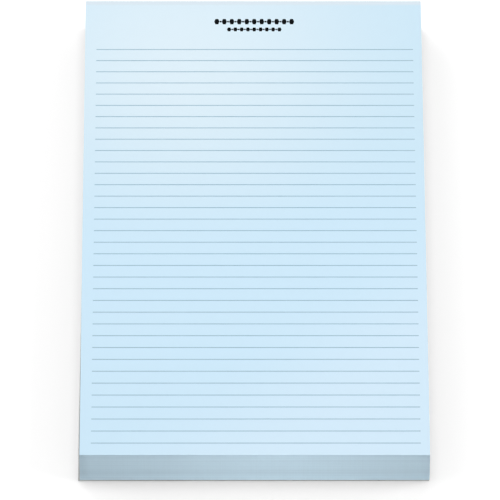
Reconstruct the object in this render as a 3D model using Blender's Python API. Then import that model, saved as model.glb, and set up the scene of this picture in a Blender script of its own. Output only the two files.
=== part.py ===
"""Ruled writing pad: a guillotined block of sheets on a chipboard back, glued together along the head.

Metres, +Z up. The origin is the middle of the pad's underside. The writing face looks along +Z, +X is
on the reader's right, and +Y points to the glued head, so the loose foot of the pad faces -Y.
"""

import bmesh
import bpy
from mathutils import Matrix, Vector

SHEET_WIDTH = 0.127
SHEET_LENGTH = 0.2032
PAD_THICKNESS = 0.0178
BOARD_THICKNESS = 0.0007
GLUE_THICKNESS = 0.0004

# The block and the board stop this far short of what they are glued to.
JOINT_GAP = 0.0003

# The guillotine crushes the board's edges, and the glue is brushed on, so its outer rim is rounded.
BOARD_EDGE_RADIUS = 0.00012
GLUE_RIM_RADIUS = 0.00025
RIM_SEGMENTS = 3

PAD_LENGTH = SHEET_LENGTH + GLUE_THICKNESS
SIDE = SHEET_WIDTH / 2
FOOT = -PAD_LENGTH / 2
HEAD = PAD_LENGTH / 2
SHEET_HEAD = HEAD - GLUE_THICKNESS - JOINT_GAP

PAPER_BLUE = (0.66, 0.84, 0.94, 1.0)
CHIPBOARD_GREY = (0.38, 0.38, 0.37, 1.0)
GLUE_CLEAR = (0.80, 0.86, 0.89, 1.0)


def clear_scene() -> None:
    """Removes every object, so that the pad is built in an empty scene."""
    for obj in list(bpy.data.objects):
        bpy.data.objects.remove(obj, do_unlink=True)


def make_material(name: str, colour: tuple, roughness: float) -> bpy.types.Material:
    """A plain non-metallic Principled material."""
    material = bpy.data.materials.new(name)
    material.use_nodes = True
    shader = material.node_tree.nodes["Principled BSDF"]
    shader.inputs["Base Color"].default_value = colour
    shader.inputs["Roughness"].default_value = roughness
    shader.inputs["Metallic"].default_value = 0.0
    material.diffuse_color = colour
    return material


def make_slab(name: str, low: tuple, high: tuple, material: bpy.types.Material) -> bpy.types.Object:
    """A rectangular slab between two corners given in the pad's frame, with its origin at its own centre."""
    size = Vector(high) - Vector(low)
    shape = bmesh.new()
    bmesh.ops.create_cube(shape, size=1.0, matrix=Matrix.Diagonal(size).to_4x4())
    mesh = bpy.data.meshes.new(name)
    shape.to_mesh(mesh)
    shape.free()
    mesh.materials.append(material)
    slab = bpy.data.objects.new(name, mesh)
    slab.location = (Vector(low) + Vector(high)) / 2
    bpy.context.scene.collection.objects.link(slab)
    return slab


def round_rim(slab: bpy.types.Object, radius: float, axis: int, direction: int) -> None:
    """Rounds the edges of the slab's face that looks along one axis, with bmesh's bevel."""
    shape = bmesh.new()
    shape.from_mesh(slab.data)
    rim = {
        edge
        for face in shape.faces
        if face.normal[axis] * direction > 0.5
        for edge in face.edges
    }
    bmesh.ops.bevel(
        shape,
        geom=list(rim),
        offset=radius,
        segments=RIM_SEGMENTS,
        profile=0.5,
        affect="EDGES",
        clamp_overlap=True,
    )
    shape.to_mesh(slab.data)
    shape.free()
    slab.data.shade_smooth()
    slab.data.set_sharp_from_angle(angle=0.6)


def build_sheet_block() -> bpy.types.Object:
    """All the sheets, cut together, so the block has plumb sides and sharp corners."""
    paper = make_material("paper", PAPER_BLUE, 0.85)
    return make_slab(
        "sheet_block",
        (-SIDE, FOOT, BOARD_THICKNESS + JOINT_GAP),
        (SIDE, SHEET_HEAD, PAD_THICKNESS),
        paper,
    )


def build_backing_board() -> bpy.types.Object:
    """The stiff chipboard under the sheets, trimmed flush with them."""
    chipboard = make_material("chipboard", CHIPBOARD_GREY, 0.92)
    board = make_slab(
        "backing_board",
        (-SIDE, FOOT, 0.0),
        (SIDE, SHEET_HEAD, BOARD_THICKNESS),
        chipboard,
    )
    round_rim(board, BOARD_EDGE_RADIUS, axis=2, direction=-1)
    return board


def build_glue_binding() -> bpy.types.Object:
    """The film of padding glue brushed over the whole head, which holds the sheets and board together."""
    glue = make_material("padding_glue", GLUE_CLEAR, 0.35)
    film = make_slab(
        "glue_binding",
        (-SIDE, HEAD - GLUE_THICKNESS, 0.0),
        (SIDE, HEAD, PAD_THICKNESS),
        glue,
    )
    round_rim(film, GLUE_RIM_RADIUS, axis=1, direction=1)
    return film


def main() -> None:
    """Builds the pad from its back up."""
    clear_scene()
    build_backing_board()
    build_sheet_block()
    build_glue_binding()


main()
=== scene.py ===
"""Looks of a glued writing pad: cut sheet edges, ruled face, chipboard back and brushed head glue.

Metres, in the pad's own frame: +Z out of the writing face, +Y to the glued head, +X to the right of
someone reading it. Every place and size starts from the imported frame.
"""

import logging
import math
from dataclasses import dataclass
from enum import Enum
from typing import Callable, Sequence, Union

import bpy
import numpy as np
from mathutils import Euler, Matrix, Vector, noise


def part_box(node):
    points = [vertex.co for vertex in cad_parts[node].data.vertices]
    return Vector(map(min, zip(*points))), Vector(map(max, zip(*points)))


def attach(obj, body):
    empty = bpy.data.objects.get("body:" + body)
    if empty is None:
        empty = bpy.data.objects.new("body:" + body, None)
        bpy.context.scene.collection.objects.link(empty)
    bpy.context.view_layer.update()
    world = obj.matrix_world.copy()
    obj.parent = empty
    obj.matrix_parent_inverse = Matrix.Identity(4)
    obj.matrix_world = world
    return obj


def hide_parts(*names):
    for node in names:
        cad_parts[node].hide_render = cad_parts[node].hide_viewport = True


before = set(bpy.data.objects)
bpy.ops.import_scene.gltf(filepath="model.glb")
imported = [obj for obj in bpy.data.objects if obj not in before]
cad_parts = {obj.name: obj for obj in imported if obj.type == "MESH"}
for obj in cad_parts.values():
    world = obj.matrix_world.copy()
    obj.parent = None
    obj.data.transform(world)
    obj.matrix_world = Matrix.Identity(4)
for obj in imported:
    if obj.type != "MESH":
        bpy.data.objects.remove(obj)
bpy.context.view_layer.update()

LOG = logging.getLogger("writing_pad")
MM = 0.001
BAKE_MAP = "OFBake"

# The Mix node's sockets share their names, so its colour sockets go by number.
MIX_SHARE, MIX_FIRST, MIX_SECOND, MIX_RESULT = 0, 6, 7, 2

Point = tuple[float, float, float]
Colour = tuple[float, float, float]
Grain = tuple[float, float, float]
Pair = tuple[float, float]
Span = tuple[float, float]
Face = tuple[int, ...]
Paint = Union[Colour, "Signal"]


# ---------- Shader recipes ----------


class Signal:
    """One output of a node, so that shader maths on numbers reads as plain Python."""

    def __init__(self, recipe: "Recipe", socket: bpy.types.NodeSocket) -> None:
        """Keeps the recipe that the socket belongs to."""
        self.recipe = recipe
        self.socket = socket

    def maths(self, operation: str, *operands: "Signal | float") -> "Signal":
        """Adds one Math node.

        Args:
            operation: The Math node's operation.
            operands: Its inputs, in order.

        Returns:
            The node's result.
        """
        return self.recipe.add("ShaderNodeMath", {"operation": operation}, dict(enumerate(operands)))

    def __add__(self, other: "Signal | float") -> "Signal":
        """self + other."""
        return self.maths("ADD", self, other)

    def __radd__(self, other: float) -> "Signal":
        """other + self."""
        return self.maths("ADD", other, self)

    def __sub__(self, other: "Signal | float") -> "Signal":
        """self - other."""
        return self.maths("SUBTRACT", self, other)

    def __rsub__(self, other: float) -> "Signal":
        """other - self."""
        return self.maths("SUBTRACT", other, self)

    def __mul__(self, other: "Signal | float") -> "Signal":
        """self * other."""
        return self.maths("MULTIPLY", self, other)

    def __rmul__(self, other: float) -> "Signal":
        """other * self."""
        return self.maths("MULTIPLY", other, self)

    def __pow__(self, other: float) -> "Signal":
        """self to a power."""
        return self.maths("POWER", self, other)

    def step_between(self, low: float, high: float) -> "Signal":
        """A smooth rise from 0 to 1.

        Args:
            low: Where it leaves 0. It may be above high, and then the signal falls.
            high: Where it reaches 1.

        Returns:
            The eased signal.
        """
        settings = {"interpolation_type": "SMOOTHSTEP", "clamp": True}
        inputs = {"Value": self, "From Min": low, "From Max": high}
        return self.recipe.add("ShaderNodeMapRange", settings, inputs)


@dataclass(frozen=True)
class Surface:
    """The parts of a Principled surface that don't change over a piece."""

    specular: float = 0.5
    coat: float = 0.0
    coat_roughness: float = 0.1
    sheen: float = 0.0


class Recipe:
    """A material under construction: its node tree, its Principled shader and its place coordinates."""

    def __init__(self, name: str, surface: Surface) -> None:
        """Starts a material.

        Args:
            name: The material's name.
            surface: Its constant socket values.
        """
        self.material = bpy.data.materials.new(name)
        self.material.use_nodes = True
        self.tree = self.material.node_tree
        self.shader = self.tree.nodes["Principled BSDF"]
        constants = {
            "Specular IOR Level": surface.specular,
            "Coat Weight": surface.coat,
            "Coat Roughness": surface.coat_roughness,
            "Sheen Weight": surface.sheen,
        }
        for socket, value in constants.items():
            self.shader.inputs[socket].default_value = value
        self.place = self.add("ShaderNodeTexCoord", {}, {}, output="Object")

    def add(
        self,
        kind: str,
        settings: dict[str, object],
        inputs: dict[str | int, object],
        output: str | int = 0,
    ) -> Signal:
        """Adds one node.

        Args:
            kind: The node's type.
            settings: Its properties, which are set before its sockets.
            inputs: A value or a Signal for each socket, by name or number.
            output: The output to hand back, by name or number.

        Returns:
            That output.
        """
        node = self.tree.nodes.new(kind)
        for key, value in settings.items():
            setattr(node, key, value)
        for key, value in inputs.items():
            self.feed(node.inputs[key], value)
        return Signal(self, node.outputs[output])

    def feed(self, socket: bpy.types.NodeSocket, value: object) -> None:
        """Links a Signal to a socket, or sets the socket's own value.

        Args:
            socket: The input socket.
            value: A Signal, a number, a vector or a colour without its alpha.
        """
        if isinstance(value, Signal):
            self.tree.links.new(value.socket, socket)
        elif isinstance(value, tuple) and socket.type == "RGBA":
            socket.default_value = (*value, 1.0)
        else:
            socket.default_value = value

    def axes(self) -> tuple[Signal, Signal, Signal]:
        """Splits the place on the pad.

        Returns:
            The place along X, Y and Z, in metres.
        """
        split = self.add("ShaderNodeSeparateXYZ", {}, {0: self.place})
        outputs = split.socket.node.outputs
        return tuple(Signal(self, outputs[axis]) for axis in range(3))

    def stretched(self, scale: Grain) -> Signal:
        """The place on the pad with each axis multiplied, so that noise can run in streaks."""
        return self.add("ShaderNodeVectorMath", {"operation": "MULTIPLY"}, {0: self.place, 1: scale})

    def speckle(self, per_metre: Grain, detail: float = 2.0, rough: float = 0.5) -> Signal:
        """Noise between 0 and 1.

        Args:
            per_metre: How many times it varies in a metre, along each axis.
            detail: How many finer layers it holds.
            rough: How strong those are.

        Returns:
            The noise, which averages about 0.5.
        """
        inputs = {"Vector": self.stretched(per_metre), "Scale": 1.0, "Detail": detail, "Roughness": rough}
        return self.add("ShaderNodeTexNoise", {}, inputs)

    def blend(self, share: Signal, first: Paint, second: Paint) -> Signal:
        """Mixes two colours.

        Args:
            share: How much of the second colour, from 0 to 1.
            first: A colour or a Signal of one.
            second: The same.

        Returns:
            The mixed colour.
        """
        inputs = {MIX_SHARE: share, MIX_FIRST: first, MIX_SECOND: second}
        return self.add("ShaderNodeMix", {"data_type": "RGBA"}, inputs, MIX_RESULT)

    def shaded(self, colour: Paint, brightness: Signal) -> Signal:
        """Multiplies a colour by a number that varies over the surface."""
        return self.add("ShaderNodeVectorMath", {"operation": "SCALE"}, {0: colour, "Scale": brightness})

    def finish(self, colour: Signal, roughness: Signal, relief: Signal, depth: float) -> bpy.types.Material:
        """Connects what varies over the surface.

        Args:
            colour: The base colour.
            roughness: The roughness.
            relief: The surface's height, between 0 and 1.
            depth: The height in metres that 1 stands for.

        Returns:
            The finished material.
        """
        bump = self.add("ShaderNodeBump", {}, {"Strength": 1.0, "Distance": depth, "Height": relief})
        self.feed(self.shader.inputs["Base Color"], colour)
        self.feed(self.shader.inputs["Roughness"], roughness)
        self.feed(self.shader.inputs["Normal"], bump)
        return self.material


# ---------- The frame, and meshes ----------


@dataclass(frozen=True)
class PadLayout:
    """Where the pad's faces lie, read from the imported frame."""

    left: float
    right: float
    foot: float
    sheet_head: float
    head: float
    base: float
    board_top: float
    top: float
    out_of_square: float = 0.24 * MM

    @classmethod
    def from_frame(cls) -> "PadLayout":
        """Reads the CAD nodes' boxes. The real sheets reach the glue film and the board.

        Returns:
            The layout.
        """
        board_low, board_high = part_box("backing_board")
        glue_low, glue_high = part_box("glue_binding")
        block_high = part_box("sheet_block")[1]
        return cls(
            left=board_low.x,
            right=board_high.x,
            foot=board_low.y,
            sheet_head=glue_low.y,
            head=glue_high.y,
            base=board_low.z,
            board_top=board_high.z,
            top=block_high.z,
        )

    @property
    def width(self) -> float:
        """The sheets' width."""
        return self.right - self.left

    @property
    def length(self) -> float:
        """The sheets' length, from foot to glue."""
        return self.sheet_head - self.foot

    @property
    def middle(self) -> Vector:
        """The middle of the sheets, across and along."""
        return Vector(((self.left + self.right) / 2, (self.foot + self.sheet_head) / 2))

    def looseness(self, y: float) -> float:
        """How far a place is from the glue: 0 where the sheets are held, and 1 at the loose foot."""
        return (self.sheet_head - y) / self.length

    def cut_in(self, y: float) -> float:
        """How far the left cut runs in from the pad's full width, in metres, most at the foot."""
        return self.out_of_square * self.looseness(y) ** 2

    def shares(self, corner: Vector) -> Pair:
        """Where a corner lies across and along the sheets, from 0 to 1."""
        return (corner.x - self.left) / self.width, (corner.y - self.foot) / self.length

    def grid(self, steps_across: int, steps_along: int) -> tuple[list[float], list[float]]:
        """Even steps over the sheets.

        Args:
            steps_across: How many from left to right.
            steps_along: How many from foot to head.

        Returns:
            The places across and the places along, both ends included.
        """
        across = np.linspace(self.left, self.right, steps_across + 1)
        along = np.linspace(self.foot, self.sheet_head, steps_along + 1)
        return across.tolist(), along.tolist()

    def outline(self, steps_across: int, steps_along: int) -> list[Pair]:
        """The sheets' full rectangle, anticlockwise from the foot's left corner.

        Args:
            steps_across: How many steps the foot and the head have.
            steps_along: How many the two long sides have.

        Returns:
            Each point's x and y.
        """
        xs, ys = self.grid(steps_across, steps_along)
        foot_and_right = [(x, self.foot) for x in xs[:-1]] + [(self.right, y) for y in ys[:-1]]
        head_and_left = [(x, self.sheet_head) for x in xs[:0:-1]] + [(self.left, y) for y in ys[:0:-1]]
        return foot_and_right + head_and_left


class Side(Enum):
    """The four sides of the pad, in the order in which its outline meets them."""

    FOOT = 0
    RIGHT = 1
    HEAD = 2
    LEFT = 3

    @property
    def is_end(self) -> bool:
        """True for the foot and the head."""
        return self in (Side.FOOT, Side.HEAD)

    @classmethod
    def facing(cls, normal: Vector) -> "Side":
        """The side that a face belongs to.

        Args:
            normal: The face's normal.

        Returns:
            The side.
        """
        if abs(normal.x) > abs(normal.y):
            return cls.RIGHT if normal.x > 0 else cls.LEFT
        return cls.FOOT if normal.y < 0 else cls.HEAD


class Pattern(Enum):
    """Seeds of the pad's small irregularities, so that each has a pattern of its own."""

    LINE_WIDTH = 2.0
    RIM_LEFT = 5.0
    RIM_RIGHT = 6.0
    RIM_FOOT = 7.0
    COCKLE = 11.0
    BRUSH = 21.0
    DABS = 22.0


@dataclass(frozen=True)
class Patch:
    """A rectangle on a piece's bake map, from 0 to 1 each way."""

    left: float
    low: float
    width: float
    height: float

    def at(self, across: float, up: float) -> Pair:
        """The point of the patch at two shares of its width and height."""
        return self.left + self.width * across, self.low + self.height * up


def wander(along: float, across: float, seed: float) -> float:
    """Smooth noise from -1 to 1 that is the same each run.

    Args:
        along: The place along the first direction, in wavelengths.
        across: The place along the second.
        seed: Picks another pattern.

    Returns:
        The noise.
    """
    return noise.noise(Vector((along, across, seed)))


def loft(rings: Sequence[Sequence[Point]], middle: Vector) -> tuple[list[Point], list[Face]]:
    """Joins level outlines into a closed body, with a fan over each end.

    Args:
        rings: The outlines from the lowest to the highest, anticlockwise, all with as many points.
        middle: The x and y of the fans' middles.

    Returns:
        The body's points and faces.
    """
    around = len(rings[0])
    points = [point for ring in rings for point in ring]
    bottom, top = len(points), len(points) + 1
    last = bottom - around
    turns = [(here, (here + 1) % around) for here in range(around)]
    faces = []
    for low in range(0, last, around):
        high = low + around
        faces += [(low + here, low + after, high + after, high + here) for here, after in turns]
    for here, after in turns:
        faces.append((after, here, bottom))
        faces.append((last + here, last + after, top))
    points += [(middle.x, middle.y, rings[0][0][2]), (middle.x, middle.y, rings[-1][0][2])]
    return points, faces


def slab(near: list[Point], far: list[Point], columns: int) -> tuple[list[Point], list[Face]]:
    """Joins two grids of points into a closed slab.

    Args:
        near: One face's points, row by row upwards and each row rightwards, as seen from outside.
        far: The opposite face's points, in the same order.
        columns: How many points a row has.

    Returns:
        The slab's points and faces.
    """
    under = len(near)
    grid = np.arange(under).reshape(-1, columns)
    faces = []
    for row, above in zip(grid[:-1].tolist(), grid[1:].tolist()):
        for a, b, c, d in zip(row, row[1:], above[1:], above):
            faces.append((a, b, c, d))
            faces.append((d + under, c + under, b + under, a + under))
    rim = np.concatenate((grid[0], grid[1:, -1], grid[-1, -2::-1], grid[-2:0:-1, 0])).tolist()
    for here, after in zip(rim, rim[1:] + rim[:1]):
        faces.append((here + under, after + under, after, here))
    return near + far, faces


def make_piece(
    name: str,
    points: Sequence[Point],
    faces: Sequence[Face],
    material: bpy.types.Material,
    crease: float = 0.6,
) -> bpy.types.Object:
    """Makes a mesh object in the pad's frame.

    Args:
        name: The piece's name.
        points: Its vertices.
        faces: Its faces, as vertex numbers, facing out.
        material: Its material.
        crease: The angle, in radians, above which an edge is shaded sharp.

    Returns:
        The new object.
    """
    mesh = bpy.data.meshes.new(name)
    mesh.from_pydata(points, [], faces)
    mesh.materials.append(material)
    mesh.validate()
    mesh.shade_smooth()
    mesh.set_sharp_from_angle(angle=crease)
    piece = bpy.data.objects.new(name, mesh)
    bpy.context.scene.collection.objects.link(piece)
    return piece


def lay_bake_map(piece: bpy.types.Object, place: Callable[[Vector, Vector], Pair]) -> None:
    """Gives a piece the map that its finish is baked through.

    Args:
        piece: The piece.
        place: Turns a corner and the normal of its face into a place on the map.
    """
    mesh = piece.data
    layer = mesh.uv_layers.new(name=BAKE_MAP)
    for face in mesh.polygons:
        for loop in face.loop_indices:
            corner = mesh.vertices[mesh.loops[loop].vertex_index].co
            layer.uv[loop].vector = place(corner, face.normal)


def hand_over(piece: bpy.types.Object, slot: str, *nodes: str) -> bpy.types.Object:
    """Fastens a piece to the pad's only body, hides it from diffuse rays and hides the CAD nodes that it
    stands for.

    Args:
        piece: The piece, in place.
        slot: Not used; the record's material slot that the piece would take its finish from.
        nodes: The CAD nodes that it stands for.

    Returns:
        The piece.
    """
    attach(piece, "root")
    # Light doesn't bounce off the pad, so its blue doesn't tint the white floor.
    piece.visible_diffuse = False
    if nodes:
        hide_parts(*nodes)
    return piece


# ---------- Finishes ----------
# A grain is how many times a pattern varies in a metre, along each axis. A span is where a change of
# colour begins and where it is complete.


@dataclass(frozen=True)
class WritingFace:
    """Light-blue bond paper, cloudy and finely grained, with a painted sheen and painted light and shade on
    its face.
    """

    blue: Colour = (0.625, 0.828, 0.972)
    # Painted shade towards the head and painted light towards the foot's right corner.
    head_shaded_blue: Colour = (0.620, 0.812, 0.937)
    foot_lit_blue: Colour = (0.668, 0.845, 0.980)
    # A painted sheen: this paler colour is strongest at sheen_middle and gone at sheen_reach from it.
    pale: Colour = (0.735, 0.87, 0.955)
    soaked: Colour = (0.71, 0.81, 0.89)
    head_shade_span: Span = (-20 * MM, 60 * MM)
    foot_light_span: Span = (36 * MM, 85 * MM)
    foot_direction: Pair = (0.63, -0.78)
    sheen_middle: Pair = (-26 * MM, 76 * MM)
    sheen_reach: float = 99 * MM
    soaked_strip: Span = (1.9 * MM, 0.6 * MM)
    soaked_fringe: float = 0.6 * MM
    fringe_grain: Grain = (400.0, 400.0, 400.0)
    cloud_grain: Grain = (260.0, 230.0, 260.0)
    fibre_grain: Grain = (3400.0, 2300.0, 3000.0)
    dimple_grain: Grain = (900.0, 700.0, 900.0)
    depth: float = 0.006 * MM

    def material(self, layout: PadLayout) -> bpy.types.Material:
        """Builds the finish.

        Args:
            layout: The pad's layout, for the strip that the glue has soaked.

        Returns:
            The material.
        """
        recipe = Recipe("writing_face", Surface(specular=0.35, sheen=0.05))
        x, y, _ = recipe.axes()
        across = x - self.sheen_middle[0]
        along = y - self.sheen_middle[1]
        far = (across * across + along * along) ** 0.5
        # Painted shade towards the head, then painted light towards the foot's right corner.
        colour = recipe.blend(y.step_between(*self.head_shade_span), self.blue, self.head_shaded_blue)
        to_foot_corner = x * self.foot_direction[0] + y * self.foot_direction[1]
        colour = recipe.blend(to_foot_corner.step_between(*self.foot_light_span), colour, self.foot_lit_blue)
        # Painted sheen towards the upper left.
        colour = recipe.blend(far.step_between(self.sheen_reach, 0.0), colour, self.pale)
        soak_edge = y + recipe.speckle(self.fringe_grain) * self.soaked_fringe
        start, full = (layout.sheet_head - below for below in self.soaked_strip)
        colour = recipe.blend(soak_edge.step_between(start, full), colour, self.soaked)
        clouds = recipe.speckle(self.cloud_grain, detail=3.0)
        fibres = recipe.speckle(self.fibre_grain, rough=0.6)
        tone = 0.982 + clouds * 0.016 + fibres * 0.020
        roughness = 0.66 + fibres * 0.12
        relief = fibres * 0.6 + recipe.speckle(self.dimple_grain) * 0.4
        return recipe.finish(recipe.shaded(colour, tone), roughness, relief, self.depth)


@dataclass(frozen=True)
class CutEdges:
    """The guillotined edges of the stack: each sheet its own tone, in bands, with faint knife marks and
    painted light low down.
    """

    blue: Colour = (0.61, 0.79, 0.905)
    shade: Colour = (0.48, 0.65, 0.765)
    sheet_grain: Grain = (9.0, 9.0, 8000.0)
    band_grain: Grain = (6.0, 6.0, 900.0)
    knife_grain: Grain = (2600.0, 2600.0, 25.0)
    # Painted light: the edges are lighter over their lowest few millimetres.
    painted_light_below: Span = (6.5 * MM, 0.5 * MM)
    depth: float = 0.01 * MM

    def material(self) -> bpy.types.Material:
        """Builds the finish.

        Returns:
            The material.
        """
        recipe = Recipe("cut_edges", Surface(specular=0.25))
        sheets = recipe.speckle(self.sheet_grain, detail=1.0)
        bands = recipe.speckle(self.band_grain, rough=0.6)
        knife = recipe.speckle(self.knife_grain)
        share = sheets.step_between(0.30, 0.75) * 0.35 + bands.step_between(0.35, 0.75) * 0.35
        colour = recipe.blend(share, self.blue, self.shade)
        _, _, z = recipe.axes()
        # Painted light: the lowest few millimetres are lighter, over the shade near the floor.
        tone = 0.970 + knife * 0.05 + z.step_between(*self.painted_light_below) * 0.13
        roughness = 0.80 + bands * 0.12
        relief = sheets * 0.7 + knife * 0.3
        return recipe.finish(recipe.shaded(colour, tone), roughness, relief, self.depth)


@dataclass(frozen=True)
class Ink:
    """Offset ink, a little starved where the paper's grain holds it off."""

    name: str
    full: Colour
    thin: Colour
    specular: float = 0.3
    paper_grain: Grain = (5200.0, 5200.0, 5200.0)
    press_grain: Grain = (60.0, 25.0, 60.0)
    depth: float = 0.004 * MM

    def material(self) -> bpy.types.Material:
        """Builds the finish.

        Returns:
            The material.
        """
        recipe = Recipe(self.name, Surface(specular=self.specular))
        grain = recipe.speckle(self.paper_grain, rough=0.6)
        press = recipe.speckle(self.press_grain)
        share = grain.step_between(0.45, 0.80) * 0.6 + press.step_between(0.45, 0.75) * 0.3
        colour = recipe.blend(share, self.full, self.thin)
        return recipe.finish(colour, 0.55 + grain * 0.2, grain, self.depth)


@dataclass(frozen=True)
class Chipboard:
    """Grey recycled board with pale and dark fibre flecks, a pressed surface and paler foot corners."""

    grey: Colour = (0.43, 0.432, 0.427)
    pale: Colour = (0.58, 0.575, 0.555)
    dark: Colour = (0.24, 0.24, 0.24)
    foot_corner_pale: Colour = (0.64, 0.65, 0.66)
    cloud_grain: Grain = (70.0, 90.0, 70.0)
    pulp_grain: Grain = (420.0, 380.0, 1600.0)
    lengthwise_grain: Grain = (700.0, 130.0, 1800.0)
    crosswise_grain: Grain = (120.0, 640.0, 1700.0)
    fleck_grain: Grain = (520.0, 460.0, 900.0)
    corner_span_across: Span = (38 * MM, 66 * MM)
    corner_span_along: Span = (-80 * MM, -100 * MM)
    depth: float = 0.012 * MM

    def material(self) -> bpy.types.Material:
        """Builds the finish.

        Returns:
            The material.
        """
        recipe = Recipe("chipboard", Surface(specular=0.25))
        clouds = recipe.speckle(self.cloud_grain, detail=4.0, rough=0.6)
        pulp = recipe.speckle(self.pulp_grain)
        lengthwise = recipe.speckle(self.lengthwise_grain, detail=1.0)
        crosswise = recipe.speckle(self.crosswise_grain, detail=1.0)
        flecks = recipe.speckle(self.fleck_grain, detail=0.0)
        colour = recipe.blend(pulp.step_between(0.40, 0.80) * 0.35, self.grey, self.pale)
        colour = recipe.blend(flecks.step_between(0.68, 0.78) * 0.55, colour, self.dark)
        fibres = lengthwise.step_between(0.66, 0.78) * 0.5 + crosswise.step_between(0.66, 0.78) * 0.5
        colour = recipe.blend(fibres * 0.8, colour, self.pale)
        x, y, _ = recipe.axes()
        # Paler towards the two foot corners.
        off_middle = (x * x) ** 0.5
        near_foot_corner = off_middle.step_between(*self.corner_span_across) * y.step_between(*self.corner_span_along)
        colour = recipe.blend(near_foot_corner * 0.8, colour, self.foot_corner_pale)
        tone = 0.92 + clouds * 0.16
        relief = pulp * 0.7 + fibres * 0.3
        roughness = 0.82 + pulp * 0.14
        return recipe.finish(recipe.shaded(colour, tone), roughness, relief, self.depth)


@dataclass(frozen=True)
class PaddingGlue:
    """Brushed padding glue, milky over the sheet ends, with the sheets showing through as fine lines."""

    milky: Colour = (0.66, 0.76, 0.82)
    thin: Colour = (0.56, 0.70, 0.80)
    board: Colour = (0.44, 0.46, 0.47)
    board_blur: float = 0.2
    brush_grain: Grain = (28.0, 28.0, 700.0)
    sheet_grain: Grain = (12.0, 12.0, 8000.0)
    drip_grain: Grain = (160.0, 160.0, 90.0)
    depth: float = 0.08 * MM

    def material(self, layout: PadLayout) -> bpy.types.Material:
        """Builds the finish.

        Args:
            layout: The pad's layout, for the band where the board shows through.

        Returns:
            The material.
        """
        recipe = Recipe("padding_glue", Surface(specular=0.5, coat=0.35, coat_roughness=0.25))
        _, _, z = recipe.axes()
        brush = recipe.speckle(self.brush_grain, detail=3.0, rough=0.6)
        sheets = recipe.speckle(self.sheet_grain, detail=1.0)
        drips = recipe.speckle(self.drip_grain)
        colour = recipe.blend(brush.step_between(0.30, 0.70), self.thin, self.milky)
        blur = layout.board_top * self.board_blur
        over_board = z.step_between(layout.board_top + blur, layout.board_top - blur)
        colour = recipe.blend(over_board, colour, self.board)
        tone = 0.94 + sheets * 0.10
        roughness = 0.30 + drips * 0.25
        relief = brush * 0.7 + drips * 0.3
        return recipe.finish(recipe.shaded(colour, tone), roughness, relief, self.depth)


@dataclass(frozen=True)
class StudioFloor:
    """A plain white sweep that glows a little, so that it stays white around the pad."""

    white: Colour = (0.90, 0.90, 0.90)
    cloudy: Colour = (0.8955, 0.8955, 0.8955)
    glow: float = 0.294
    cloud_grain: Grain = (8.0, 8.0, 8.0)
    depth: float = 0.001 * MM

    def material(self) -> bpy.types.Material:
        """Builds the finish.

        Returns:
            The material.
        """
        recipe = Recipe("studio_floor", Surface(specular=0.0))
        recipe.shader.inputs["Emission Color"].default_value = (1.0, 1.0, 1.0, 1.0)
        recipe.shader.inputs["Emission Strength"].default_value = self.glow
        cloud = recipe.speckle(self.cloud_grain)
        colour = recipe.blend(cloud, self.white, self.cloudy)
        return recipe.finish(colour, 0.9 + cloud * 0.02, cloud, self.depth)


# ---------- Sub-assemblies ----------


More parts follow.
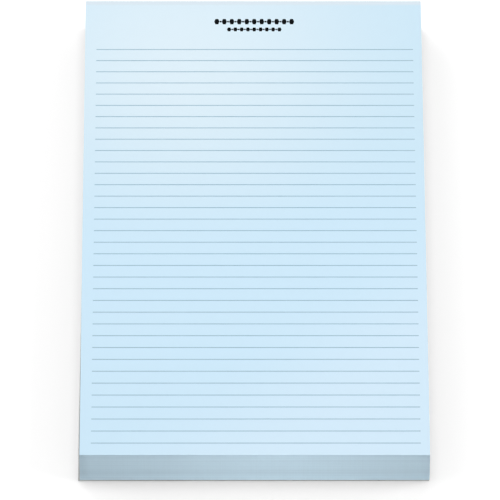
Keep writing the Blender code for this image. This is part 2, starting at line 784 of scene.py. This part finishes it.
@dataclass
class SheetStack:
    """All the sheets below the top one, cut to size together, with every edge a little in or out."""

    layout: PadLayout
    sheet: float = 0.1 * MM
    steps_across: int = 26
    steps_along: int = 40
    crest: Span = (0.28, 0.80)
    valley: float = 1.04
    groove: float = 0.022 * MM
    stray: float = 0.016 * MM
    stray_length: float = 45 * MM
    band: float = 0.030 * MM
    band_length: float = 120 * MM
    band_height: float = 1.4 * MM
    slant: float = 0.19 * MM
    side_seed: float = 7.3
    band_seed: float = 3.1
    first_sheet_seed: float = 0.5
    sheet_seed: float = 1.37
    finish: CutEdges = CutEdges()
    end_patches: tuple[Patch, Patch] = (Patch(0.05, 0.02, 0.90, 0.04), Patch(0.05, 0.07, 0.90, 0.04))
    first_strip: Patch = Patch(0.02, 0.13, 0.96, 0.20)
    strip_pitch: float = 0.215
    level_normal: float = 0.999

    @property
    def top(self) -> float:
        """Where the stack meets the underside of the top sheet."""
        return self.layout.top - self.sheet

    def overhang(self, place: float, z: float, seed: float, side: Side) -> float:
        """How far a sheet's edge stands out of the cut.

        Args:
            place: The distance along the side.
            z: The height.
            seed: A number that differs from sheet to sheet.
            side: The side.

        Returns:
            The distance outwards, in metres.
        """
        pattern = side.value * self.side_seed
        stray = wander(place / self.stray_length, seed, pattern) * self.stray
        band = wander(place / self.band_length, z / self.band_height, pattern + self.band_seed) * self.band
        if side is Side.FOOT:
            return stray + band
        depth = (self.top - z) / (self.top - self.layout.board_top)
        return stray + band + self.slant * depth * self.layout.looseness(place)

    def ring(self, z: float, seed: float, inset: float) -> list[Point]:
        """One outline of the stack at a height.

        Args:
            z: The height.
            seed: A number that differs from sheet to sheet.
            inset: How far the outline is drawn in, as in the groove between two sheets.

        Returns:
            The outline's points.
        """
        pad = self.layout
        points = []
        for x, y in pad.outline(self.steps_across, self.steps_along):
            out_x = out_y = 0.0
            if x == pad.left:
                out_x = pad.cut_in(y) + inset - self.overhang(y, z, seed, Side.LEFT)
            elif x == pad.right:
                out_x = self.overhang(y, z, seed, Side.RIGHT) - inset
            if y == pad.foot:
                out_y = inset - self.overhang(x, z, seed, Side.FOOT)
            points.append((x + out_x, y + out_y, z))
        return points

    def build(self) -> bpy.types.Object:
        """Builds the stack as one closed body, with a crest and a groove for every sheet.

        Returns:
            The piece.
        """
        base = self.layout.board_top
        sheets = round((self.top - base) / self.sheet)
        pitch = (self.top - base) / sheets
        rings = [self.ring(base, self.first_sheet_seed, self.groove)]
        for sheet in range(sheets):
            seed = sheet * self.sheet_seed + self.first_sheet_seed
            for share in self.crest:
                rings.append(self.ring(base + (sheet + share) * pitch, seed, 0.0))
            if sheet < sheets - 1:
                rings.append(self.ring(base + (sheet + self.valley) * pitch, seed, self.groove))
        rings.append(self.ring(self.top, self.first_sheet_seed, self.groove))
        points, faces = loft(rings, self.layout.middle)
        piece = make_piece("sheet_stack", points, faces, self.finish.material(), crease=1.2)
        lay_bake_map(piece, self.place_on_map)
        return hand_over(piece, "paper", "sheet_block")

    def place_on_map(self, corner: Vector, normal: Vector) -> Pair:
        """Lays each side out as a strip of the whole map's width, stretched upwards to hold every sheet.

        Args:
            corner: The corner's place on the pad.
            normal: Its face's normal.

        Returns:
            The place on the map.
        """
        pad = self.layout
        across, along = pad.shares(corner)
        if abs(normal.z) > self.level_normal:
            return self.end_patches[int(normal.z > 0)].at(along, across)
        side = Side.facing(normal)
        share = across if side.is_end else along
        up = (corner.z - pad.board_top) / (self.top - pad.board_top)
        u, v = self.first_strip.at(min(max(share, 0.0), 1.0), up)
        return u, v + self.strip_pitch * side.value


@dataclass
class TopSheet:
    """The sheet that carries the print, lying almost flat on the stack."""

    layout: PadLayout
    sheet: float = 0.1 * MM
    steps_across: int = 26
    steps_along: int = 40
    cockle: float = 0.018 * MM
    cockle_size: Pair = (50 * MM, 70 * MM)
    overhang: float = 0.02 * MM
    overhang_length: float = 50 * MM
    finish: WritingFace = WritingFace()
    face_patch: Patch = Patch(0.005, 0.005, 0.92, 0.99)
    back_patch: Patch = Patch(0.935, 0.01, 0.03, 0.98)
    end_patch: Patch = Patch(0.972, 0.01, 0.008, 0.98)
    side_patch: Patch = Patch(0.986, 0.01, 0.008, 0.98)
    level_normal: float = 0.5

    def height(self, x: float, y: float) -> float:
        """The height of the writing face, which cockles a little and is held flat at the glue.

        Args:
            x: The place across the sheet.
            y: The place along it.

        Returns:
            The height, in the pad's frame.
        """
        wave = wander(x / self.cockle_size[0], y / self.cockle_size[1], Pattern.COCKLE.value)
        return self.layout.top + self.cockle * self.layout.looseness(y) * wave

    def stand_out(self, place: float, pattern: Pattern) -> float:
        """How far the sheet's edge stands out of the cut at a place along one side."""
        return self.overhang * (1.0 + wander(place / self.overhang_length, 0.0, pattern.value))

    def trimmed(self, x: float, y: float) -> Pair:
        """Moves a point of the sheet's rim to where this sheet was cut.

        Args:
            x: The place across the sheet.
            y: The place along it.

        Returns:
            The point, which hasn't moved if it isn't on the rim.
        """
        pad = self.layout
        if x == pad.left:
            x += pad.cut_in(y) - self.stand_out(y, Pattern.RIM_LEFT)
        elif x == pad.right:
            x += self.stand_out(y, Pattern.RIM_RIGHT)
        if y == pad.foot:
            y -= self.stand_out(x, Pattern.RIM_FOOT)
        return x, y

    def build(self) -> bpy.types.Object:
        """Builds the sheet as a thin closed slab.

        Returns:
            The piece.
        """
        pad = self.layout
        xs, ys = pad.grid(self.steps_across, self.steps_along)
        upper = [(*self.trimmed(x, y), self.height(x, y)) for y in ys for x in xs]
        lower = [(x, y, pad.top - self.sheet) for x, y, _ in upper]
        points, faces = slab(upper, lower, len(xs))
        piece = make_piece("ruled_sheet", points, faces, self.finish.material(pad))
        lay_bake_map(piece, self.place_on_map)
        return hand_over(piece, "paper", "sheet_block")

    def place_on_map(self, corner: Vector, normal: Vector) -> Pair:
        """Gives nearly the whole map to the writing face, and narrow strips to the rest.

        Args:
            corner: The corner's place on the pad.
            normal: Its face's normal.

        Returns:
            The place on the map.
        """
        across, along = self.layout.shares(corner)
        if normal.z > self.level_normal:
            return self.face_patch.at(across, along)
        if normal.z < -self.level_normal:
            return self.back_patch.at(across, along)
        up = (corner.z - self.layout.top) / self.sheet + 1.0
        if Side.facing(normal).is_end:
            return self.end_patch.at(up, across)
        return self.side_patch.at(up, along)


@dataclass
class Ruling:
    """The ruled lines, each a thin film of ink on the top sheet."""

    sheet: TopSheet
    lines: int = 35
    first_below_head: float = 22.44 * MM
    last_above_foot: float = 5.04 * MM
    left_margin: float = 4.3 * MM
    right_margin: float = 3.3 * MM
    width: float = 0.30 * MM
    uneven: float = 0.10
    uneven_size: Pair = (4 * MM, 2 * MM)
    film: float = 0.012 * MM
    steps: int = 40
    finish: Ink = Ink("ruling_ink", full=(0.255, 0.425, 0.530), thin=(0.358, 0.555, 0.685))

    def build(self) -> bpy.types.Object:
        """Builds all the lines as one piece.

        Returns:
            The piece.
        """
        pad = self.sheet.layout
        first = pad.sheet_head - self.first_below_head
        last = pad.foot + self.last_above_foot
        points, faces = [], []
        for y in np.linspace(first, last, self.lines).tolist():
            self.add_line(y, points, faces)
        piece = make_piece("ruled_lines", points, faces, self.finish.material())
        return hand_over(piece, "paper")

    def add_line(self, y: float, points: list[Point], faces: list[Face]) -> None:
        """Adds one line, a bar that is half sunk in the sheet.

        Args:
            y: The line's middle.
            points: The piece's vertices so far.
            faces: The piece's faces so far.
        """
        pad = self.sheet.layout
        left, right = pad.left + self.left_margin, pad.right - self.right_margin
        start = len(points)
        for x in np.linspace(left, right, self.steps + 1).tolist():
            wave = wander(x / self.uneven_size[0], y / self.uneven_size[1], Pattern.LINE_WIDTH.value)
            half = self.width / 2 * (1.0 + self.uneven * wave)
            z = self.sheet.height(x, y)
            for side, rise in ((-1, -1), (1, -1), (1, 1), (-1, 1)):
                points.append((x, y + side * half, z + rise * self.film))
        end = start + self.steps * 4
        for a in range(start, end, 4):
            for edge, after in ((0, 1), (1, 2), (2, 3), (3, 0)):
                faces.append((a + edge, a + 4 + edge, a + 4 + after, a + after))
        faces.append((start, start + 1, start + 2, start + 3))
        faces.append((end + 3, end + 2, end + 1, end))


class Mark(Enum):
    """The plain shapes of the printer's ornament that heads the sheet."""

    LOZENGE = "lozenge"
    TILE = "tile"


@dataclass(frozen=True)
class OrnamentRow:
    """One centred row of blunt lozenges with a small square tile between each two."""

    below_head: float
    height: float
    width: float
    lozenges: int
    tile_half: float = 0.25
    lozenge_half: float = 0.68
    lozenge_flat: float = 0.55

    @property
    def count(self) -> int:
        """How many marks the row has."""
        return 2 * self.lozenges - 1

    @property
    def pitch(self) -> float:
        """The distance from a lozenge's middle to the next tile's."""
        return self.width / self.count

    def marks(self) -> list[tuple[Mark, float]]:
        """Each mark of the row and its distance from the row's middle."""
        shapes = (Mark.LOZENGE, Mark.TILE)
        return [(shapes[place % 2], (place - self.lozenges + 1) * self.pitch) for place in range(self.count)]

    def outline(self, mark: Mark) -> list[Pair]:
        """A mark's corners about its middle, anticlockwise.

        Args:
            mark: The shape.

        Returns:
            The corners, across and along the sheet.
        """
        if mark is Mark.TILE:
            side = self.tile_half * self.pitch
            return [(-side, -side), (side, -side), (side, side), (-side, side)]
        wide, tall = self.lozenge_half * self.pitch, self.height / 2
        flat = self.lozenge_flat * wide
        return [(-flat, -tall), (flat, -tall), (wide, 0.0), (flat, tall), (-flat, tall), (-wide, 0.0)]


@dataclass
class Heading:
    """The printed heading: two rows of a plain printer's ornament."""

    sheet: TopSheet
    centre: float = 0.33 * MM
    film: float = 0.014 * MM
    rows: tuple[OrnamentRow, ...] = (
        OrnamentRow(below_head=8.18 * MM, height=2.5 * MM, width=29.7 * MM, lozenges=11),
        OrnamentRow(below_head=12.18 * MM, height=1.8 * MM, width=20.2 * MM, lozenges=9),
    )
    finish: Ink = Ink("heading_ink", full=(0.002, 0.003, 0.004), thin=(0.010, 0.012, 0.015), specular=0.05)

    def build(self) -> bpy.types.Object:
        """Builds both rows as one piece.

        Returns:
            The piece.
        """
        points, faces = [], []
        for row in self.rows:
            y = self.sheet.layout.sheet_head - row.below_head - row.height / 2
            for mark, x in row.marks():
                corners = [(self.centre + x + right, y + up) for right, up in row.outline(mark)]
                self.add_film(corners, points, faces)
        piece = make_piece("heading_marks", points, faces, self.finish.material())
        return hand_over(piece, "paper")

    def add_film(self, outline: list[Pair], points: list[Point], faces: list[Face]) -> None:
        """Adds a closed film of ink.

        Args:
            outline: The film's corners on the sheet, anticlockwise.
            points: The piece's vertices so far.
            faces: The piece's faces so far.
        """
        start, corners = len(points), len(outline)
        for rise in (-self.film, self.film):
            points += [(x, y, self.sheet.height(x, y) + rise) for x, y in outline]
        for here in range(corners):
            a, b = start + here, start + (here + 1) % corners
            faces.append((a, b, b + corners, a + corners))
        faces.append(tuple(start + corners + here for here in range(corners)))
        faces.append(tuple(start + here for here in reversed(range(corners))))


@dataclass
class BoardBack:
    """The chipboard: its upper edge crushed round, its lower edge drawn out in a small burr by the knife."""

    layout: PadLayout
    crush: float = 0.16 * MM
    burr: float = 0.08 * MM
    fuzz: float = 0.02 * MM
    fuzz_length: float = 2.2 * MM
    level_seed: float = 1.7
    # The board stands out on the left towards the foot, so that its grey edge shows as a dark line there,
    # standing in for shade.
    left_shadow_creep: float = 0.61 * MM
    creep_right: float = 0.03 * MM
    steps_across: int = 60
    steps_along: int = 96
    finish: Chipboard = Chipboard()
    under_patch: Patch = Patch(0.005, 0.005, 0.80, 0.99)
    upper_patch: Patch = Patch(0.82, 0.01, 0.05, 0.98)
    first_strip: Patch = Patch(0.88, 0.01, 0.025, 0.98)
    strip_pitch: float = 0.03
    strip_order: tuple[Side, ...] = (Side.FOOT, Side.HEAD, Side.LEFT, Side.RIGHT)
    level_normal: float = 0.95

    def creep(self, x: float, y: float) -> float:
        """How far a point of the board lies sideways of the sheets' cut, most at the loose foot; on the left
        its grey edge makes a dark line that stands in for shade.

        Args:
            x: The place across the board.
            y: The place along it.

        Returns:
            The distance to the right, which is negative on the left.
        """
        most = self.left_shadow_creep if x < 0 else self.creep_right
        return most * self.layout.looseness(y) * x / self.layout.right

    def profile(self, thick: float) -> list[Pair]:
        """The shape of the cut edge from the underside up.

        Args:
            thick: The board's thickness.

        Returns:
            Heights above the underside, each with how far the outline is drawn in there.
        """
        return [
            (0.0, -self.burr),
            (self.crush * 0.3, -self.burr),
            (self.crush, 0.0),
            (thick * 0.45, self.fuzz),
            (thick * 0.7, 0.0),
            (thick - self.crush * 0.5, self.fuzz * 0.5),
            (thick, self.crush * 0.6),
        ]

    def ring(self, z: float, inset: float, seed: float) -> list[Point]:
        """One outline of the board at a height.

        Args:
            z: The height.
            inset: How far the outline is drawn in.
            seed: A number that differs from outline to outline.

        Returns:
            The outline's points.
        """
        pad = self.layout
        middle = pad.middle
        points = []
        for x, y in pad.outline(self.steps_across, self.steps_along):
            drawn = inset + self.fuzz * abs(wander(x / self.fuzz_length, y / self.fuzz_length, seed))
            points.append((
                middle.x + (x - middle.x) * (1 - 2 * drawn / pad.width) + self.creep(x, y),
                middle.y + (y - middle.y) * (1 - 2 * drawn / pad.length),
                z,
            ))
        return points

    def build(self) -> bpy.types.Object:
        """Builds the board as a stack of outlines between flat faces.

        Returns:
            The piece.
        """
        pad = self.layout
        levels = enumerate(self.profile(pad.board_top - pad.base))
        rings = [self.ring(pad.base + z, inset, level * self.level_seed) for level, (z, inset) in levels]
        points, faces = loft(rings, pad.middle)
        piece = make_piece("chipboard_back", points, faces, self.finish.material())
        lay_bake_map(piece, self.place_on_map)
        return hand_over(piece, "chipboard", "backing_board")

    def place_on_map(self, corner: Vector, normal: Vector) -> Pair:
        """Gives most of the map to the underside.

        Args:
            corner: The corner's place on the pad.
            normal: Its face's normal.

        Returns:
            The place on the map.
        """
        pad = self.layout
        across, along = pad.shares(corner)
        if normal.z < -self.level_normal:
            return self.under_patch.at(across, along)
        if normal.z > self.level_normal:
            return self.upper_patch.at(across, along)
        side = Side.facing(normal)
        share = across if side.is_end else along
        u, v = self.first_strip.at((corner.z - pad.base) / (pad.board_top - pad.base), share)
        return u + self.strip_pitch * self.strip_order.index(side), v


@dataclass
class GlueFilm:
    """The padding glue over the head: brushed on in waves, cut off flush at the top and the sides."""

    layout: PadLayout
    steps_across: int = 110
    steps_up: int = 34
    wave: float = 0.10 * MM
    brush_size: Pair = (20 * MM, 1.6 * MM)
    dab_size: Pair = (6 * MM, 5 * MM)
    dab_share: float = 0.4
    rim: float = 0.16 * MM
    rim_width: float = 1.2 * MM
    finish: PaddingGlue = PaddingGlue()

    def depth(self, x: float, z: float) -> float:
        """How far the film's outer face stands from the sheets.

        Args:
            x: The place across the head.
            z: The height.

        Returns:
            The distance, at most the film's thickness in the frame.
        """
        pad = self.layout
        brush = wander(x / self.brush_size[0], z / self.brush_size[1], Pattern.BRUSH.value)
        dabs = wander(x / self.dab_size[0], z / self.dab_size[1], Pattern.DABS.value)
        brushed = brush * (1.0 - self.dab_share) + dabs * self.dab_share
        nearest = min(x - pad.left, pad.right - x, z - pad.base, pad.top - z)
        eased = min(max(nearest / self.rim_width, 0.0), 1.0)
        rounded = self.rim * (1.0 - math.sqrt(eased * (2.0 - eased)))
        return pad.head - pad.sheet_head - self.wave * (0.5 - 0.5 * brushed) - rounded

    def build(self) -> bpy.types.Object:
        """Builds the film as a closed slab with a wavy outer face.

        Returns:
            The piece.
        """
        pad = self.layout
        even = np.linspace(0.0, 1.0, self.steps_up + 1)
        crowded_at_the_rims = 0.5 - 0.5 * np.cos(math.pi * even)
        zs = (pad.base + (pad.top - pad.base) * (even + crowded_at_the_rims) / 2).tolist()
        xs = np.linspace(pad.left, pad.right, self.steps_across + 1).tolist()
        inner = [(x, pad.sheet_head, z) for z in zs for x in xs]
        outer = [(x, y + self.depth(x, z), z) for x, y, z in inner]
        points, faces = slab(inner, outer, len(xs))
        piece = make_piece("head_glue", points, faces, self.finish.material(pad))
        return hand_over(piece, "padding_glue", "glue_binding")


# ---------- Studio ----------


@dataclass(frozen=True)
class SoftBox:
    """A rectangular soft light."""

    name: str
    place: Point
    aim: Point
    size: Pair
    watts: float

    def hang(self) -> bpy.types.Object:
        """Puts the light in the scene, facing its aim.

        Returns:
            The light.
        """
        lamp = bpy.data.lights.new(self.name, "AREA")
        lamp.shape = "RECTANGLE"
        lamp.size, lamp.size_y = self.size
        lamp.energy = self.watts
        # Rays that bounce off the floor pass through the pad, so none of them may count a lamp's light.
        lamp.cycles.use_multiple_importance_sampling = False
        light = bpy.data.objects.new(self.name, lamp)
        light.location = self.place
        away = Vector(self.place) - Vector(self.aim)
        light.rotation_euler = away.to_track_quat("Z", "Y").to_euler()
        light.visible_camera = False
        bpy.context.scene.collection.objects.link(light)
        return light


@dataclass
class Studio:
    """The floor, the soft lights and the camera."""

    layout: PadLayout
    floor_size: float = 6.0
    sky: float = 0.15
    lights: tuple[SoftBox, ...] = (
        SoftBox("overhead_lamp", (0.0, 0.0, 1.4), (0.0, 0.0, 0.0), (0.5, 0.5), 4.16),
        SoftBox("head_softbox", (0.0, 1.1, 1.1), (0.0, 0.0, 0.0), (1.8, 0.9), 5.5),
        SoftBox("head_left_softbox", (-0.8, 0.9, 0.9), (0.0, 0.0, 0.0), (0.8, 0.8), 3.9),
        SoftBox("left_softbox", (-1.3, 0.0, 0.7), (0.0, 0.0, 0.0), (1.0, 1.0), 8.7),
        SoftBox("right_softbox", (1.3, 0.0, 0.7), (0.0, 0.0, 0.0), (1.0, 1.0), 12.2),
        SoftBox("foot_card", (0.02, -0.32, 0.16), (0.01, -0.10, 0.008), (0.20, 0.10), 0.041),
        SoftBox("low_foot_card", (0.008, -0.165, 0.012), (0.008, -0.10, 0.010), (0.05, 0.014), 0.0098),
    )
    lens: float = 460.7
    sensor: float = 36.0
    clip: Span = (0.1, 20.0)
    distance: float = 2.3626
    elevation: float = 55.892
    azimuth: float = -0.334
    roll: float = 0.272
    aim: Pair = (-1.47 * MM, -12.38 * MM)
    floor: StudioFloor = StudioFloor()

    def build(self) -> None:
        """Sets up the whole studio."""
        scene = bpy.context.scene
        scene.view_settings.view_transform = "Standard"
        self.lay_floor()
        world = bpy.data.worlds.new("studio_sky")
        world.use_nodes = True
        sky = world.node_tree.nodes["Background"]
        sky.inputs["Color"].default_value = (1.0, 1.0, 1.0, 1.0)
        sky.inputs["Strength"].default_value = self.sky
        scene.world = world
        for light in self.lights:
            light.hang()
        scene.camera = self.mount_camera()

    def lay_floor(self) -> bpy.types.Object:
        """Lays the floor at the pad's base.

        Returns:
            The floor.
        """
        half = self.floor_size / 2
        corners = [(-half, -half), (half, -half), (half, half), (-half, half)]
        points = [(x, y, self.layout.base) for x, y in corners]
        floor = make_piece("studio_floor", points, [(0, 1, 2, 3)], self.floor.material())
        return floor

    def mount_camera(self) -> bpy.types.Object:
        """Places the camera on a long lens, above and in front of the pad's foot.

        Returns:
            The camera.
        """
        lens = bpy.data.cameras.new("studio_camera")
        lens.lens = self.lens
        lens.sensor_width = self.sensor
        lens.clip_start, lens.clip_end = self.clip
        camera = bpy.data.objects.new("studio_camera", lens)
        turn = math.radians(self.azimuth)
        rise = math.radians(self.elevation)
        away = Vector((
            math.sin(turn) * math.cos(rise),
            -math.cos(turn) * math.cos(rise),
            math.sin(rise),
        ))
        camera.location = Vector((*self.aim, self.layout.top)) + away * self.distance
        level = Euler((math.pi / 2 - rise, 0.0, turn)).to_matrix()
        tilt = Euler((0.0, 0.0, math.radians(self.roll))).to_matrix()
        camera.rotation_euler = (level @ tilt).to_euler()
        bpy.context.scene.collection.objects.link(camera)
        return camera


def main() -> None:
    """Builds the pad from its back up and reports each piece, then sets up the studio around it."""
    logging.basicConfig(level=logging.INFO, format="%(name)s: %(message)s")
    layout = PadLayout.from_frame()
    sheet = TopSheet(layout)
    makers = (BoardBack(layout), SheetStack(layout), sheet, Ruling(sheet), Heading(sheet), GlueFilm(layout))
    for maker in makers:
        piece = maker.build()
        LOG.info("%s: %d faces", piece.name, len(piece.data.polygons))
    Studio(layout).build()


if __name__ == "__main__":
    main()
